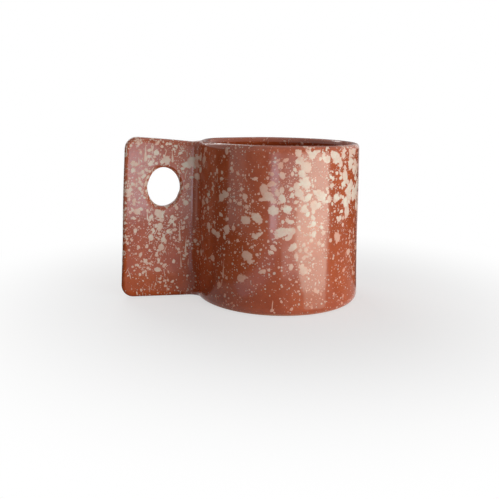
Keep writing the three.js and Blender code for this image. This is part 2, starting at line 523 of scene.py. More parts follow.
class Nodes:
    """Adds nodes to one tree. A value is a socket, which is linked, or a constant, which is set."""

    spacing = 190.0

    def __init__(self, tree):
        self.tree = tree

    def add(self, kind, inputs=None, **settings):
        """Adds a node, applies its settings, then links or sets its inputs by name or number."""
        made = self.tree.nodes.new(kind)
        made.location.x = self.spacing * len(self.tree.nodes)
        for key, value in settings.items():
            setattr(made, key, value)
        for key, value in (inputs or {}).items():
            if isinstance(key, int):
                socket = made.inputs[key]
            else:
                socket = next(s for s in made.inputs if s.name == key and s.enabled)
            if isinstance(value, bpy.types.NodeSocket):
                self.tree.links.new(value, socket)
            else:
                socket.default_value = value
        return made

    def out(self, kind, inputs=None, **settings):
        """Adds a node and returns the first of its outputs that is in use."""
        return next(s for s in self.add(kind, inputs, **settings).outputs if s.enabled)

    def math(self, operation, *values):
        """A math node."""
        return self.out("ShaderNodeMath", dict(enumerate(values)), operation=operation)

    def chain(self, operation, first, *others):
        """A math node for each further value, one after the other."""
        for value in others:
            first = self.math(operation, first, value)
        return first

    def plus(self, *values):
        """The sum of the values."""
        return self.chain("ADD", *values)

    def minus(self, *values):
        """The first value less the others."""
        return self.chain("SUBTRACT", *values)

    def times(self, *values):
        """The product of the values."""
        return self.chain("MULTIPLY", *values)

    def largest(self, *values):
        """The largest of the values."""
        return self.chain("MAXIMUM", *values)

    def held(self, value, low, high):
        """A value held between two others."""
        return self.math("MINIMUM", self.largest(value, low), high)

    def ramp(self, value, span, to=(0.0, 1.0), kind="LINEAR"):
        """Maps a value from one span to another and clamps it."""
        inputs = {"Value": value, "From Min": span[0], "From Max": span[1]}
        inputs |= {"To Min": to[0], "To Max": to[1]}
        return self.out("ShaderNodeMapRange", inputs, clamp=True, interpolation_type=kind)

    def vector(self, operation, *values, **named):
        """A vector math node."""
        inputs = {**dict(enumerate(values)), **named}
        return self.out("ShaderNodeVectorMath", inputs, operation=operation)

    def joined(self, x, y, z):
        """A vector from its three parts."""
        return self.out("ShaderNodeCombineXYZ", {0: x, 1: y, 2: z})

    def parts(self, vector):
        """The three parts of a vector."""
        return self.add("ShaderNodeSeparateXYZ", {0: vector}).outputs

    def blend(self, factor, first, second, kind="MIX"):
        """Mixes two colours."""
        inputs = {"Factor": factor, "A": first, "B": second}
        return self.out("ShaderNodeMix", inputs, data_type="RGBA", blend_type=kind)

    def noise(self, place, scale, detail=3.0, roughness=0.55, distortion=0.0):
        """A noise value."""
        inputs = {"Vector": place, "Scale": scale, "Detail": detail, "Roughness": roughness}
        return self.out("ShaderNodeTexNoise", {**inputs, "Distortion": distortion})

    def specks(self, place, scale, kept, radii):
        """A mask of round specks: a share of the cells is kept, each with its own size in cell widths."""
        cells = self.add("ShaderNodeTexVoronoi", {"Vector": place, "Scale": scale}).outputs
        drawn = self.add("ShaderNodeSeparateColor", {0: cells["Color"]}).outputs
        alive = self.math("LESS_THAN", drawn[0], kept)
        size = self.ramp(drawn[1], (0.0, 1.0), radii)
        core = self.times(size, SPECK_CORE)
        return self.times(alive, self.ramp(cells["Distance"], (core, size), (1.0, 0.0)))

    def bump(self, height, strength, distance):
        """A normal that follows a height."""
        return self.out("ShaderNodeBump", {"Strength": strength, "Distance": distance, "Height": height})

    def on_object(self):
        """Object coordinates, for a material."""
        return self.add("ShaderNodeTexCoord").outputs["Object"]

    def kept(self, name):
        """A value that the mesh keeps under a name, for a material."""
        return self.add("ShaderNodeAttribute", attribute_name=name).outputs["Fac"]

    def place(self):
        """Where each point is, for a geometry tree."""
        return self.out("GeometryNodeInputPosition")

    def moved(self, geometry, position):
        """Moves each point to a position."""
        return self.out("GeometryNodeSetPosition", {"Geometry": geometry, "Position": position})

    def store(self, geometry, name, value, kind="FLOAT"):
        """Keeps a value for each point under a name."""
        inputs = {"Geometry": geometry, "Name": name, "Value": value}
        return self.out("GeometryNodeStoreNamedAttribute", inputs, data_type=kind, domain="POINT")

    def named(self, name, kind="FLOAT"):
        """Reads the value that points keep under a name."""
        return self.out("GeometryNodeInputNamedAttribute", {"Name": name}, data_type=kind)

    def chance(self, low, high, seed):
        """A random number for each point."""
        inputs = {"Min": low, "Max": high, "Seed": seed}
        return self.out("FunctionNodeRandomValue", inputs, data_type="FLOAT")

    def on_handle(self, there, elsewhere=1.0):
        """One value on the handle and another elsewhere."""
        return self.ramp(self.named("handle"), (0.0, 1.0), (elsewhere, there))


def new_tree(name, sockets):
    """An empty geometry tree with an output and named inputs; returns nodes, inputs and output."""
    tree = bpy.data.node_groups.new(name, "GeometryNodeTree")
    tree.interface.new_socket("Geometry", in_out="OUTPUT", socket_type="NodeSocketGeometry")
    for label, kind in sockets.items():
        tree.interface.new_socket(label, in_out="INPUT", socket_type="NodeSocket" + kind)
    inputs = tree.nodes.new("NodeGroupInput")
    output = tree.nodes.new("NodeGroupOutput")
    return Nodes(tree), {socket.name: socket for socket in inputs.outputs}, output


def end_tree(nodes, output, geometry, material):
    """Realizes what the tree made, gives it its material and sends it out; returns the tree."""
    real = nodes.out("GeometryNodeRealizeInstances", {"Geometry": geometry})
    coloured = nodes.out("GeometryNodeSetMaterial", {"Geometry": real, "Material": material})
    nodes.tree.links.new(coloured, output.inputs[0])
    return nodes.tree


def grow(name, tree, values, seed_mesh=None):
    """Runs a geometry tree on a mesh and keeps the result as a plain mesh object."""
    made = new_object(name, seed_mesh or bpy.data.meshes.new(name + "_seed"))
    modifier = made.modifiers.new(tree.name, "NODES")
    modifier.node_group = tree
    for item in tree.interface.items_tree:
        if item.in_out == "INPUT" and item.name in values:
            modifier[item.identifier] = values[item.name]
    graph = bpy.context.evaluated_depsgraph_get()
    grown = bpy.data.meshes.new_from_object(made.evaluated_get(graph), depsgraph=graph)
    made.modifiers.remove(modifier)
    start = made.data
    made.data = grown
    bpy.data.meshes.remove(start)
    return made


# Finishes


def emptied(owner):
    """The nodes of a material or a world, with none in place yet."""
    owner.use_nodes = True
    owner.node_tree.nodes.clear()
    return Nodes(owner.node_tree)


def finish_named(name, recipe):
    """The material of that name, made from its recipe on first use."""
    material = bpy.data.materials.get(name)
    if material is None:
        material = bpy.data.materials.new(name)
        nodes = emptied(material)
        inputs = recipe(nodes, nodes.on_object(), bpy.context.scene.mug_finish)
        shader = nodes.out("ShaderNodeBsdfPrincipled", inputs)
        nodes.add("ShaderNodeOutputMaterial", {"Surface": shader})
    return material


def rgba(value):
    """A colour with full cover."""
    return (*value, 1.0)


def clay_body(nodes, place, finish):
    """Colour of the glazed clay, without slip."""
    broad = nodes.ramp(nodes.noise(place, CLAY_CLOUDS, 4.0, 0.6), (0.36, 0.66))
    body = nodes.blend(broad, rgba(finish.deep_clay), rgba(finish.clay))
    thin = nodes.ramp(nodes.noise(place, CLAY_THIN_GLAZE, 4.0, 0.6, 0.4), (0.55, 0.78), (0.0, 0.40))
    body = nodes.blend(thin, body, rgba(finish.pale_clay))
    grain = nodes.ramp(nodes.noise(place, CLAY_GRAIN, 3.0, 0.7), (0.3, 0.7), (0.86, 1.12))
    return nodes.blend(1.0, body, grain, "MULTIPLY")


def glazed_clay(nodes, place, finish):
    """Red clay under a satin glaze, with a mist and thin films of slip and a few iron specks."""
    body = clay_body(nodes, place, finish)

    film = nodes.ramp(nodes.noise(place, FILM_PATCHES, 5.0, 0.62, 0.8), (0.56, 0.74), (0.0, 0.30))
    gaps = nodes.ramp(nodes.noise(place, FILM_GAPS), (0.35, 0.65))
    body = nodes.blend(nodes.times(film, gaps), body, rgba(finish.slip_film))

    drift = nodes.times(nodes.noise(place, MIST_SWIRLS, 2.0), MIST_DRIFT)
    mist_place = nodes.vector("ADD", place, drift)
    crowded = nodes.ramp(nodes.noise(place, MIST_CROWDS, 2.0), (0.38, 0.62), (0.10, 0.42))
    crowded = nodes.times(crowded, nodes.ramp(nodes.kept("slip"), (0.15, 0.8), (0.3, 1.5)))
    fine = nodes.specks(mist_place, MIST_FINE, crowded, (0.16, 0.42))
    coarse = nodes.specks(mist_place, MIST_COARSE, nodes.times(crowded, 0.55), (0.14, 0.40))
    mist = nodes.largest(fine, coarse)
    body = nodes.blend(nodes.times(mist, 0.62), body, rgba(finish.slip))

    iron = nodes.specks(place, IRON_SPECKS, 0.06, (0.06, 0.16))
    body = nodes.blend(nodes.times(iron, 0.8), body, rgba(finish.iron))

    clouds = nodes.noise(place, GLAZE_CLOUDS, 4.0)
    sheen = nodes.ramp(clouds, (0.3, 0.7), (finish.gloss - 0.03, finish.gloss + 0.04))
    height = nodes.math("MULTIPLY_ADD", mist, 0.35, nodes.noise(place, GLAZE_RIPPLE, 3.0, 0.5))
    return {"Base Color": body, "Roughness": sheen, "Normal": nodes.bump(height, 0.35, 0.00008)}


def glazed_slip(nodes, place, finish):
    """Pale slip under the same glaze: solid in the middle of a drop, thin and clay-tinted at its edge."""
    patchy = nodes.ramp(nodes.noise(place, SLIP_PATCHES, 4.0, 0.65), (0.3, 0.62), (0.72, 1.0))
    edge = nodes.ramp(nodes.kept("lift"), (0.0, 0.55), (0.35, 1.0))
    solid = nodes.times(nodes.kept("cover"), patchy, edge)
    body = nodes.blend(solid, rgba(finish.slip_film), rgba(finish.slip))
    grain = nodes.ramp(nodes.noise(place, SLIP_GRAIN, 3.0, 0.7), (0.3, 0.7), (0.93, 1.05))
    body = nodes.blend(1.0, body, grain, "MULTIPLY")
    pinholes = nodes.specks(place, SLIP_PINHOLES, 0.05, (0.05, 0.13))
    body = nodes.blend(nodes.times(pinholes, 0.6), body, rgba(finish.deep_clay))

    clouds = nodes.noise(place, SLIP_CLOUDS)
    sheen = nodes.ramp(clouds, (0.3, 0.7), (finish.gloss + 0.02, finish.gloss + 0.10))
    normal = nodes.bump(nodes.noise(place, SLIP_RIPPLE, 3.0, 0.5), 0.3, 0.00006)
    return {"Base Color": body, "Roughness": sheen, "Specular IOR Level": 0.2, "Normal": normal}


def bare_clay(nodes, place, finish):
    """Dry fired clay under the foot: sandy, with wire-cut drag marks and rubbed patches."""
    broad = nodes.ramp(nodes.noise(place, BARE_CLOUDS, 4.0, 0.6), (0.35, 0.68))
    body = nodes.blend(broad, rgba(finish.bare_clay), rgba(finish.pale_clay))
    grit = nodes.specks(place, BARE_GRIT, 0.35, (0.10, 0.34))
    body = nodes.blend(nodes.times(grit, 0.35), body, rgba(finish.slip_film))
    iron = nodes.specks(place, BARE_IRON, 0.12, (0.08, 0.20))
    body = nodes.blend(nodes.times(iron, 0.7), body, rgba(finish.iron))

    rough = nodes.ramp(broad, (0.0, 1.0), (0.72, 0.88))
    drag = nodes.out("ShaderNodeMapping", {"Vector": place, "Scale": DRAG_STRETCH})
    lines = nodes.noise(drag, BARE_DRAG_LINES, 3.0, 0.6, 0.3)
    normal = nodes.bump(nodes.math("MULTIPLY_ADD", grit, 0.6, lines), 0.6, 0.00015)
    return {"Base Color": body, "Roughness": rough, "Normal": normal}


def glazed():
    """The glaze that covers all but the foot."""
    return finish_named("satin_glazed_clay", glazed_clay)


def bare():
    """The dry clay that the mug stands on."""
    return finish_named("dry_fired_clay", bare_clay)


def slip():
    """The splattered slip."""
    return finish_named("splattered_slip", glazed_slip)


# The barrel


def floor_slab(sizes):
    """The round floor: a flat bare underside, a softened lower edge and a glazed top."""
    rounding, outer = sizes.foot_rounding, sizes.outer_radius
    edge = outer - rounding
    under = [(radius, 0.0) for radius in np.linspace(0.0, edge, UNDER_RINGS)[:-1]]
    lower_edge = arc((edge, rounding), rounding, -90.0, 0.0, ROUND_STEPS)
    side = [(outer, height) for height in np.linspace(rounding, sizes.floor, SIDE_RINGS)[1:]]
    top = [(radius, sizes.floor) for radius in np.linspace(outer, 0.0, TOP_RINGS)[1:]]
    mesh = turned("fired_floor", under + lower_edge + side + top)
    piece = new_object("fired_floor", mesh, bare(), glazed())
    for face in mesh.polygons:
        face.material_index = int(face.center.z > GLAZE_LINE * rounding)
    return piece


def wall_tree():
    """Bends a grid into the wall: up the outside, over a fully rounded lip and down the inside."""
    sockets = {
        "Middle radius": "Float",
        "Half thickness": "Float",
        "Foot height": "Float",
        "Rim height": "Float",
        "Turn steps": "Int",
        "Rows": "Int",
        "Glaze": "Material",
    }
    nodes, given, output = new_tree("Rolled wall", sockets)
    half = given["Half thickness"]
    columns = nodes.plus(given["Turn steps"], 1.0)
    counts = {"Vertices X": columns, "Vertices Y": given["Rows"]}
    grid = nodes.out("GeometryNodeMeshGrid", {"Size X": 1.0, "Size Y": 1.0, **counts})
    where = nodes.parts(nodes.place())
    round_share = nodes.plus(where[0], 0.5)
    row_share = nodes.plus(where[1], 0.5)

    # The straight part of one side, and the way from the outer foot over the lip to the inner foot
    straight = nodes.minus(given["Rim height"], given["Foot height"], half)
    over = nodes.times(half, math.pi)
    way = nodes.plus(nodes.times(straight, 2.0), over)

    # Some rows lie under each half of the foot, so that its corners stay sharp.
    first = nodes.math("DIVIDE", float(FOOT_ROWS), nodes.minus(given["Rows"], 1.0))
    last = nodes.minus(1.0, first)
    under_foot = nodes.minus(nodes.ramp(row_share, (0.0, first), (0.0, half)), half)
    up_and_down = nodes.ramp(row_share, (first, last), (0.0, way))
    along = nodes.plus(under_foot, up_and_down, nodes.ramp(row_share, (last, 1.0), (0.0, half)))

    climbed = nodes.held(along, 0.0, straight)
    past = nodes.minus(along, straight)
    lip_turn = nodes.held(nodes.math("DIVIDE", past, half), 0.0, math.pi)
    descended = nodes.held(nodes.minus(past, over), 0.0, straight)

    radius = nodes.math("MULTIPLY_ADD", nodes.math("COSINE", lip_turn), half, given["Middle radius"])
    before = nodes.math("MINIMUM", along, 0.0)
    beyond = nodes.largest(nodes.minus(along, way), 0.0)
    radius = nodes.plus(radius, before, beyond)
    height = nodes.plus(given["Foot height"], climbed)
    height = nodes.math("MULTIPLY_ADD", nodes.math("SINE", lip_turn), half, height)
    height = nodes.minus(height, descended)

    turn = nodes.times(round_share, 2.0 * math.pi)
    across = nodes.times(radius, nodes.math("COSINE", turn))
    deep = nodes.times(radius, nodes.math("SINE", turn))
    bent = nodes.moved(grid, nodes.joined(across, deep, height))
    closed = nodes.out("GeometryNodeMergeByDistance", {"Geometry": bent, "Distance": WALL_WELD})
    return end_tree(nodes, output, closed, given["Glaze"])


def floor_fillet(sizes):
    """The smoothed inside corner: a hollow curve that runs out on the floor and on the wall."""
    inner = sizes.outer_radius - sizes.wall
    radius = sizes.floor_fillet
    centre = (inner - radius, sizes.floor + radius)
    hollow = arc(centre, radius - PATCH_PROUD, -90.0, 0.0, 2 * ROUND_STEPS)
    toe = (centre[0] - PATCH_RUNOUT, sizes.floor - PATCH_DIP)
    head = (inner + PATCH_DIP, centre[1] + PATCH_RUNOUT)
    behind = inner + PATCH_ROOT * sizes.wall
    below = sizes.floor - PATCH_ROOT * sizes.wall
    profile = [toe, *hollow, head, (behind, head[1]), (behind, below), (toe[0], below), toe]
    return new_object("fired_floor_fillet", turned("fired_floor_fillet", profile), glazed())


# The handle


def handle_lift(sizes, across):
    """How far the handle's top edge stands above the rim at a place along X."""
    out = np.clip((-sizes.outer_radius - across) / (sizes.handle_reach - sizes.outer_radius), 0.0, 1.0)
    return (sizes.handle_rise + sizes.handle_drop) * out - sizes.handle_drop


def handle_outline(sizes, inset):
    """The handle's outline as (x, z) points, moved inwards, anticlockwise as the camera sees it."""
    tip, root = -sizes.handle_reach, -(sizes.outer_radius - 0.5 * sizes.wall)
    low, high = sizes.handle_foot, sizes.rim_height
    free, buried = sizes.handle_corner, BURIED_CORNER * sizes.handle_edge
    corners = (
        ((tip + free, low + free), free, 180.0),
        ((root - buried, low + buried), buried, 270.0),
        ((root - buried, high - buried), buried, 0.0),
        ((tip + free, high - free), free, 90.0),
    )
    arcs = [
        arc(centre, radius - inset, start, start + 90.0, CORNER_STEPS)
        for centre, radius, start in corners
    ]
    points = []
    for i, steps in enumerate((SHORT_SIDE_STEPS, LONG_SIDE_STEPS) * 2):
        points += [np.array(point) for point in arcs[i]]
        following = arcs[(i + 1) % len(arcs)][0]
        points += between(arcs[i][-1], following, steps)[1:]
    points = np.array(points)
    points[:, 1] += handle_lift(sizes, points[:, 0]) * points[:, 1] / sizes.rim_height
    return points


def hole_outline(sizes, outline, outset):
    """The finger hole's edge, with one point for each point of the outline, in the same direction."""
    centre = np.array((-sizes.hole_from_axis, sizes.hole_above_table))
    reach = np.array((sizes.hole_width, sizes.hole_height)) / 2.0
    turn = np.arctan2(*((outline - centre) / reach).T[::-1])
    lobes = HOLE_LOBE_SIZE * np.cos(HOLE_LOBES * turn + HOLE_LOBE_START)
    pull = HOLE_PULL * np.exp(-((np.abs(turn) - math.pi) / HOLE_PULL_WIDTH) ** 2)
    wobble = 1.0 + lobes + pull
    ray = np.stack((np.cos(turn), np.sin(turn)), axis=1)
    return centre + ray * (reach * wobble[:, None] + outset)


def handle_slab(sizes):
    """An upright plate with rubbed edges and a finger hole, level below and rising outwards above."""
    half = 0.5 * sizes.handle_thickness
    edge = sizes.handle_edge
    inner_face = handle_outline(sizes, edge)
    rim_face = hole_outline(sizes, inner_face, edge)
    flat = half - edge

    # One side of the section, from the hole's rubbed edge over the face to the outline's rubbed edge
    side = []
    for turn in quarter_turn()[::-1]:
        loop = hole_outline(sizes, inner_face, edge * (1.0 - math.sin(turn)))
        side.append((loop, flat + edge * math.cos(turn)))
    for i in range(1, FACE_STEPS):
        side.append((rim_face + (inner_face - rim_face) * i / FACE_STEPS, half))
    for turn in quarter_turn():
        loop = handle_outline(sizes, edge * (1.0 - math.sin(turn)))
        side.append((loop, flat + edge * math.cos(turn)))

    section = [(loop, -depth) for loop, depth in side] + side[::-1]
    loops = [
        np.stack((loop[:, 0], np.full(len(loop), depth), loop[:, 1]), axis=1)
        for loop, depth in section
    ]
    return new_object("fired_handle", skinned("fired_handle", loops, True), glazed())


def root_fillet(name, sizes, side):
    """Clay worked into the corner between handle and barrel; side is -1 for -Y and +1 for +Y."""
    radius, half, barrel = sizes.root_fillet, 0.5 * sizes.handle_thickness, sizes.outer_radius
    centre = np.array((-math.sqrt((barrel + radius) ** 2 - (half + radius) ** 2), half + radius))
    start = -math.pi / 2.0
    end = math.atan2(centre[1], centre[0]) - math.pi
    lip = 0.5 * sizes.wall
    rise_rows = np.linspace(0.0, 1.0, LONG_SIDE_STEPS + 1)[1:-1]
    crest = np.array((-(barrel - lip), 0.0))
    heel = np.array((centre[0], 0.0))
    heel_lift = float(handle_lift(sizes, centre[0]))

    def column(across, shift, sink):
        """One closed upright loop: under, up the hollow face, over the top and back inside."""
        turn = start + (end - start) * across
        outward = np.array((math.cos(turn), math.sin(turn)))

        def face(inset):
            """The hollow face in plan, moved into the clay by inset."""
            return centre + (radius + (inset + sink)) * outward + shift

        foot = sizes.handle_foot * (1.0 - across)
        foot_round = sizes.handle_edge + (sizes.foot_rounding - sizes.handle_edge) * across
        top_round = sizes.handle_edge + (lip - sizes.handle_edge) * across
        spine = heel + (crest - heel) * across + shift
        top = sizes.rim_height + heel_lift * (1.0 - across)
        low, high = foot + foot_round, top - top_round
        loop = [(*spine, foot)]
        for a in quarter_turn():
            plan = face(foot_round * (1.0 - math.sin(a)))
            loop.append((*plan, foot + foot_round * (1.0 - math.cos(a))))
        loop += [(*face(0.0), low + (high - low) * row) for row in rise_rows]
        for a in quarter_turn()[::-1]:
            plan = face(top_round * (1.0 - math.sin(a)))
            loop.append((*plan, top - top_round * (1.0 - math.cos(a)) - sink))
        loop.append((*spine, top - sink))
        return [(x, side * y, z) for x, y, z in loop]

    along_handle = np.array((-PATCH_RUNOUT, 0.0))
    along_barrel = PATCH_RUNOUT * np.array((-math.sin(end), math.cos(end)))
    loops = [column(0.0, along_handle, PATCH_DIP)]
    loops += [column(i / FILLET_STEPS, np.zeros(2), -PATCH_PROUD) for i in range(FILLET_STEPS + 1)]
    loops.append(column(1.0, along_barrel, PATCH_DIP))
    return new_object(name, skinned(name, loops, False), glazed())


# The slip


def open_skin(sizes):
    """The clay's open surface as one mesh, with the slip that landed on it and whether it is the handle."""
    reach = sizes.outer_radius + sizes.root_fillet
    join = math.asin((0.5 * sizes.handle_thickness + sizes.root_fillet) / reach)
    heel = -reach * math.cos(join)
    middle = sizes.outer_radius - 0.5 * sizes.wall
    toe = sizes.outer_radius - sizes.wall - sizes.floor_fillet - PATCH_RUNOUT

    def is_open(name, inside, face):
        centre = face.calc_center_median()
        widen = 1.0 / (1.0 - sizes.narrowing * centre.z / sizes.rim_height)
        out = widen * math.hypot(centre.x, centre.y)
        beside = math.atan2(abs(centre.y), -centre.x) > join
        past_heel = widen * centre.x < heel
        if inside:
            return out < toe and face.normal.z > FACING
        if name == "fired_handle":
            return past_heel
        if name.startswith("fired_root"):
            buried = len(face.verts) > 4 or min(abs(corner.co.y) for corner in face.verts) < PATCH_DIP
            return not (buried or past_heel or beside)
        if name == "fired_floor":
            low, high = SLIP_FROM * sizes.foot_rounding, SLIP_UP_TO * sizes.floor
            return beside and out > middle and low < centre.z < high
        return face.normal.z > -FACING and (beside or out < middle)

    outside = ("fired_wall", "fired_floor", "fired_handle", "fired_root_front", "fired_root_back")
    points, faces, on_handle = [], [], []
    for name, inside in [(name, False) for name in outside] + [("fired_floor", True)]:
        shape = bmesh.new()
        shape.from_mesh(bpy.data.objects[name].data)
        hidden = [face for face in shape.faces if not is_open(name, inside, face)]
        bmesh.ops.delete(shape, geom=hidden, context="FACES")
        shape.verts.index_update()
        start = len(points)
        points += [tuple(corner.co) for corner in shape.verts]
        faces += [[start + corner.index for corner in face.verts] for face in shape.faces]
        on_handle += [float(name == "fired_handle")] * len(shape.verts)
        shape.free()

    skin = mesh_of("open_skin", points, faces)
    skin.shade_smooth()
    keep_slip(skin, sizes)
    skin.attributes.new("handle", "FLOAT", "POINT").data.foreach_set("value", on_handle)
    return skin


def flat_drop(nodes, sides, tail):
    """A flat drop of radius 1 that keeps its plan and its lift, which is highest in the middle."""
    cone = {"Vertices": sides, "Side Segments": 1, "Fill Segments": 1}
    cone |= {"Radius Top": DROP_SHOULDER, "Radius Bottom": 1.0, "Depth": 1.0}
    drop = nodes.out("GeometryNodeMeshCone", cone, fill_type="TRIANGLE_FAN")
    place = nodes.place()
    where = nodes.parts(place)
    out = nodes.vector("LENGTH", nodes.vector("MULTIPLY", place, (1.0, 1.0, 0.0)))
    upper = nodes.ramp(out, (0.0, DROP_SHOULDER), DROP_TOP)
    lower = nodes.ramp(out, (0.0, 1.0), DROP_UNDER)
    drop = nodes.store(drop, "lift", nodes.ramp(where[2], (0.0, 1.0), (lower, upper)))

    # A drop that ran has a long thin tail above its round head.
    above = nodes.largest(where[1], 0.0)
    thin = nodes.math("POWER", nodes.minus(1.0, above), TAIL_TAPER)
    slim = nodes.ramp(thin, (0.0, 1.0), (TAIL_WIDTH if tail else 1.0, 1.0))
    along = nodes.math("MULTIPLY_ADD", above, tail, where[1])
    shaped = nodes.joined(nodes.times(where[0], slim), along, 0.0)
    return nodes.moved(nodes.store(drop, "plan", shaped, "FLOAT_VECTOR"), shaped)


def scattered(nodes, skin, per_area, drop, radii, stretch, spin, seed):
    """Throws copies of a drop at the skin; each keeps its middle, radius, cover and a number of its own."""

    def draw(low, high, turn):
        return nodes.chance(low, high, nodes.plus(seed, turn))

    landing = {"Mesh": skin, "Density": per_area, "Seed": seed}
    thrown = nodes.add("GeometryNodeDistributePointsOnFaces", landing).outputs
    landed = nodes.named("slip")

    # Drops are smaller and thinner where little slip landed, and on the handle smaller but still thick.
    radius = nodes.ramp(nodes.math("POWER", draw(0.0, 1.0, 1), MOSTLY_SMALL), (0.0, 1.0), radii)
    radius = nodes.times(radius, nodes.ramp(landed, (0.45, 0.85), (0.65, 1.0)), nodes.on_handle(0.78))
    thick = nodes.ramp(landed, (0.45, 0.95), (0.18, 1.0))
    thick = nodes.largest(thick, nodes.times(nodes.named("handle"), 0.8))
    points = nodes.store(thrown["Points"], "radius", radius)
    points = nodes.store(points, "cover", nodes.times(thick, draw(0.6, 1.05, 2)))
    points = nodes.store(points, "number", draw(0.0, DROP_NUMBERS, 3))
    points = nodes.store(points, "middle", nodes.place(), "FLOAT_VECTOR")

    # Each drop lies flat on the clay with its tail up, then turns a little in its own plane.
    up = (0.0, 0.0, 1.0)
    flat = nodes.out("FunctionNodeAlignRotationToVector", {"Vector": thrown["Normal"]}, axis="Z")
    tail_up = {"Rotation": flat, "Vector": up}
    upright = nodes.out("FunctionNodeAlignRotationToVector", tail_up, axis="Y", pivot_axis="Z")
    turn = nodes.out("FunctionNodeAxisAngleToRotation", {"Axis": up, "Angle": draw(-spin, spin, 4)})
    turning = {"Rotation": upright, "Rotate By": turn}
    rotation = nodes.out("FunctionNodeRotateRotation", turning, rotation_space="LOCAL")
    wide = nodes.named("radius")
    scale = nodes.joined(wide, nodes.times(wide, draw(*stretch, 5)), wide)
    copies = {"Points": points, "Instance": drop, "Rotation": rotation, "Scale": scale}
    return nodes.out("GeometryNodeInstanceOnPoints", copies)


def slip_tree():
    """Splatters slip over a skin in layers, gives its drops lobes and presses them onto the clay."""
    sockets = {"Skin": "Geometry", **dict.fromkeys(SLIP_LAYERS, "Float")}
    sockets |= {"Relief": "Float", "Seed": "Int", "Slip": "Material"}
    nodes, given, output = new_tree("Slip splatter", sockets)
    skin = given["Skin"]
    place = nodes.place()
    landed = nodes.named("slip")

    # Where each layer lands: blotches where the slip is thick, drops and flecks in clumps
    gaps = nodes.on_handle(0.7, 0.15)
    crowded = nodes.ramp(nodes.noise(place, SLIP_CROWDS), (0.40, 0.62), (gaps, 1.8))
    thick = nodes.math("POWER", nodes.ramp(landed, (0.40, 0.95), (0.04, 1.0)), 2.0)
    thick = nodes.times(thick, crowded, nodes.on_handle(0.40))
    clumps = nodes.ramp(nodes.noise(place, SLIP_CLUMPS, 2.0), (0.42, 0.60), (0.25, 2.0))
    clumps = nodes.times(clumps, nodes.on_handle(1.4))
    clumped = nodes.times(landed, crowded, clumps)
    misted = nodes.times(clumped, nodes.ramp(landed, (0.45, 0.90), (0.65, 1.9)))
    ran = nodes.on_handle(1.0, 0.10)
    lands = {"Blotches": thick, "Drops": clumped, "Flecks": misted, "Streaks": ran, "Runs": ran}

    together = nodes.add("GeometryNodeJoinGeometry")
    for i, (layer, (sides, tail, radii, stretch, spin)) in enumerate(SLIP_LAYERS.items()):
        per_area = nodes.times(given[layer], lands[layer])
        seed = nodes.plus(given["Seed"], LAYER_SEEDS * i)
        drop = flat_drop(nodes, sides, tail)
        copies = scattered(nodes, skin, per_area, drop, radii, stretch, spin, seed)
        nodes.tree.links.new(copies, together.inputs[0])
    drops = nodes.out("GeometryNodeRealizeInstances", {"Geometry": together.outputs[0]})

    # Lobes: each drop swells and shrinks round its middle, by noise on its own plan
    middle = nodes.named("middle", "FLOAT_VECTOR")
    radius = nodes.named("radius")
    own = nodes.joined(0.0, 0.0, nodes.named("number"))
    own_plan = nodes.vector("ADD", nodes.named("plan", "FLOAT_VECTOR"), own)
    lobes = nodes.noise(own_plan, SLIP_LOBES, 3.0, 0.7)
    lobed = nodes.ramp(radius, (0.0005, 0.0014), (0.28, 0.70))
    swell = nodes.ramp(lobes, (0.33, 0.67), (nodes.minus(1.0, lobed), nodes.plus(1.0, lobed)))
    arm = nodes.vector("SCALE", nodes.vector("SUBTRACT", place, middle), Scale=swell)
    drops = nodes.moved(drops, nodes.vector("ADD", middle, arm))

    # Pressed onto the clay: each point moves to the skin and lifts off it by its own share of the relief
    near = nodes.out("GeometryNodeProximity", {"Geometry": skin}, target_element="FACES")
    facing = {"Mesh": skin, "Value": nodes.out("GeometryNodeInputNormal")}
    outward = nodes.out("GeometryNodeSampleNearestSurface", facing, data_type="FLOAT_VECTOR")
    fullness = nodes.ramp(radius, (0.0002, 0.0016), (0.45, 1.0))
    height = nodes.times(given["Relief"], fullness, nodes.named("lift"))
    raised = nodes.vector("SCALE", outward, Scale=height)
    pressed = nodes.moved(drops, nodes.vector("ADD", near, raised))
    return end_tree(nodes, output, pressed, given["Slip"])


# Stage


def seen_as_it_is(nodes):
    """1 where the camera looks, straight or by way of a mirror or glass, and 0 for light on the mug."""
    ray = nodes.add("ShaderNodeLightPath").outputs
    return nodes.largest(ray["Is Camera Ray"], ray["Is Glossy Ray"], ray["Is Transmission Ray"])


def glow(nodes, tint, brightness):
    """An even glow."""
    return nodes.out("ShaderNodeEmission", {"Color": rgba(tint), "Strength": brightness})


def white_ground():
    """A pale floor that keeps the mug's shadow and fades to white away from it."""
    material = bpy.data.materials.new("pale_floor")
    nodes = emptied(material)
    away = nodes.vector("LENGTH", nodes.on_object())
    white = nodes.ramp(away, GROUND_FADE, (GROUND_NEAR_WHITE, 1.0), "SMOOTHSTEP")
    factor = nodes.times(seen_as_it_is(nodes), white)
    plain = nodes.out("ShaderNodeBsdfDiffuse", {"Color": rgba(GROUND_GREY)})
    mixed = nodes.out("ShaderNodeMixShader", {0: factor, 1: plain, 2: glow(nodes, WHITE, 1.0)})
    nodes.add("ShaderNodeOutputMaterial", {"Surface": mixed})
    sides = ((-1.0, -1.0), (1.0, -1.0), (1.0, 1.0), (-1.0, 1.0))
    corners = [(GROUND_REACH * x, GROUND_REACH * y, GROUND_HEIGHT) for x, y in sides]
    return new_object("ground", mesh_of("ground", corners, ONE_FACE), material)


def white_world(ambient):
    """A world that looks white and lights the mug softly."""
    world = bpy.data.worlds.new("studio")
    nodes = emptied(world)
    strength = nodes.ramp(seen_as_it_is(nodes), (0.0, 1.0), (ambient, 1.0))
    sky = nodes.out("ShaderNodeBackground", {"Color": rgba(WHITE), "Strength": strength})
    nodes.add("ShaderNodeOutputWorld", {"Surface": sky})
    return world


